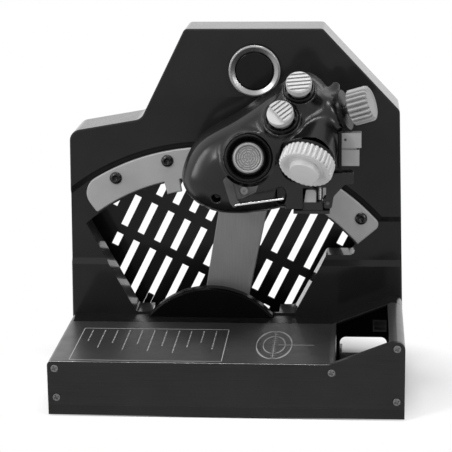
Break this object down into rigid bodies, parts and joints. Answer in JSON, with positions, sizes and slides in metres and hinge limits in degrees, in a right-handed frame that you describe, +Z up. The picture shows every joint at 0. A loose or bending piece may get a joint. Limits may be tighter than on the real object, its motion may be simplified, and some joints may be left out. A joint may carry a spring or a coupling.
{
  "type": "throttle quadrant",
  "caption": "Desk throttle quadrant: black standing wall with a slotted window, swinging lever and side grip with hat switches, knobs and wheel, on a low box.",
  "frame": {"origin": "on the resting plane under the rubber feet, below the middle of the overall box", "axes": "+X forward along the wall (to the right from the control side), +Y from the front panel towards the back of the wall, +Z up"},
  "size_m": [0.2652, 0.17, 0.27],
  "materials": {
    "black_paint": "satin black powder coat",
    "black_brushed": "brushed and stained black",
    "grey_plate": "bead blasted",
    "grey_lever": "satin, brushed across",
    "bright_ring": "turned",
    "bright_screw": "bright",
    "black_screw": "black oxide",
    "dark_steel": "dark, satin",
    "brass": "plain",
    "black_gloss": "gloss black",
    "black_grip": "satin black",
    "black_trim": "satin black",
    "grey_knob": "light grey, fine grain",
    "grey_socket": "dark grey",
    "soft_black": "plain",
    "board_green": "lacquered"
  },
  "bodies": {
    "base": {"base_tray": "black_paint", "rubber_feet": "soft_black", "mounting_inserts": "brass", "front_panel": "black_brushed", "front_panel_screws": "bright_screw", "base_cover": "black_paint", "wall_plinth": "black_paint", "bay_socket": "grey_socket", "main_circuit_board": "board_green", "wall_casing": "black_paint", "rear_cover": "black_paint", "rear_cover_screws": "black_screw", "aft_detent_plate": "grey_plate", "fore_detent_plate": "grey_plate", "detent_plate_screws": "black_screw", "hub_cover": "black_paint", "pivot_bracket": "dark_steel", "pivot_bushes": "brass", "friction_washer": "grey_socket", "sensor_board": "board_green", "countermeasure_ring": "bright_ring", "countermeasure_spring": "dark_steel", "countermeasure_switch": "black_trim"},
    "throttle": {"pivot_shaft": "bright_screw", "tension_nut": "bright_screw", "sensor_magnet": "bright_screw", "lever_arm": "grey_lever", "grip_neck": "grey_lever", "neck_screws": "bright_screw", "grip_body": "black_grip", "grip_back_shell": "black_grip", "grip_screws": "bright_screw", "cursor_cup": "black_trim", "upper_hat_bezel": "black_trim", "thumb_bezel": "black_trim", "thumb_pin": "bright_screw", "antenna_gasket": "soft_black", "range_flange": "black_trim", "slide_key_guide": "black_trim", "release_bracket": "dark_steel", "release_pin": "bright_screw", "release_spring": "dark_steel", "release_cam": "grey_knob", "crank_screw": "bright_screw"},
    "countermeasure_button": {"countermeasure_button": "black_gloss"},
    "cursor_ring": {"cursor_gimbal": "bright_screw"},
    "cursor": {"cursor_stick": "bright_screw", "cursor_cap": "grey_knob"},
    "hat_ring": {"upper_hat_gimbal": "bright_screw"},
    "upper_hat": {"upper_hat_stick": "bright_screw", "upper_hat_cap": "grey_knob"},
    "thumb_rocker": {"thumb_switch": "grey_knob"},
    "antenna_wheel": {"antenna_wheel": "grey_knob", "antenna_shaft": "bright_screw"},
    "range_plunger": {"range_shaft": "bright_screw"},
    "range_knob": {"range_knob": "grey_knob"},
    "slide_key": {"slide_key": "grey_knob"},
    "release_lever": {"release_lever": "dark_steel"},
    "crank": {"release_crank": "dark_steel", "link_rod": "dark_steel"}
  },
  "joints": [
    {"name": "throttle_swing", "type": "hinge", "parent": "base", "child": "throttle", "pos_m": [-0.016, 0.053, 0.014], "axis": [0, 1, 0], "range_deg": [-46, 26]},
    {"name": "countermeasure_press", "type": "slide", "parent": "base", "child": "countermeasure_button", "axis": [0, 1, 0], "range_m": [0, 0.0025], "stiffness_N_per_m": 400, "springref_m": -0.003},
    {"name": "cursor_tilt_x", "type": "hinge", "parent": "throttle", "child": "cursor_ring", "pos_m": [0.01658, -0.05123, 0.18802], "axis": [0.9987, 0.049, -0.0111], "range_deg": [-8, 8], "stiffness_Nm_per_rad": 0.05},
    {"name": "cursor_tilt_y", "type": "hinge", "parent": "cursor_ring", "child": "cursor", "pos_m": [0.01658, -0.05123, 0.18802], "axis": [0, 0.2212, 0.9752], "range_deg": [-8, 8], "stiffness_Nm_per_rad": 0.05},
    {"name": "hat_tilt_x", "type": "hinge", "parent": "throttle", "child": "hat_ring", "pos_m": [0.05354, -0.0432, 0.23702], "axis": [0.9946, 0.0516, 0.0897], "range_deg": [-7, 7], "stiffness_Nm_per_rad": 0.05},
    {"name": "hat_tilt_y", "type": "hinge", "parent": "hat_ring", "child": "upper_hat", "pos_m": [0.05354, -0.0432, 0.23702], "axis": [-0.1035, 0.4956, 0.8624], "range_deg": [-7, 7], "stiffness_Nm_per_rad": 0.05},
    {"name": "thumb_rock", "type": "hinge", "parent": "throttle", "child": "thumb_rocker", "pos_m": [0.04327, -0.05185, 0.21716], "axis": [0.7404, 0.1303, 0.6594], "range_deg": [-10, 10], "stiffness_Nm_per_rad": 0.05},
    {"name": "antenna_turn", "type": "hinge", "parent": "throttle", "child": "antenna_wheel", "pos_m": [0.05964, -0.067, 0.1871], "axis": [-0.2606, -0.7216, -0.6414], "range_deg": [-135, 135]},
    {"name": "range_push", "type": "slide", "parent": "throttle", "child": "range_plunger", "axis": [-0.9284, 0.2146, -0.3035], "range_m": [0, 0.0015], "stiffness_N_per_m": 400, "springref_m": -0.003},
    {"name": "range_turn", "type": "hinge", "parent": "range_plunger", "child": "range_knob", "pos_m": [0.09834, -0.04, 0.225], "axis": [0.9284, -0.2146, 0.3035], "range_deg": [-135, 135]},
    {"name": "key_slide", "type": "slide", "parent": "throttle", "child": "slide_key", "axis": [0, 1, 0], "range_m": [-0.005, 0.005]},
    {"name": "release_lift", "type": "hinge", "parent": "throttle", "child": "release_lever", "pos_m": [0.07404, -0.041, 0.1535], "axis": [0, -1, 0], "range_deg": [0, 8], "stiffness_Nm_per_rad": 0.1, "springref_deg": -11.46, "deforming": ["release_spring"]},
    {"name": "crank_turn", "type": "hinge", "parent": "throttle", "child": "crank", "pos_m": [0.01404, -0.058, 0.1661], "axis": [0, 1, 0], "range_deg": [0, 4]}
  ],
  "couplings": [
    {"joint": "crank_turn", "follows": "release_lift", "ratio": 0.5}
  ]
}
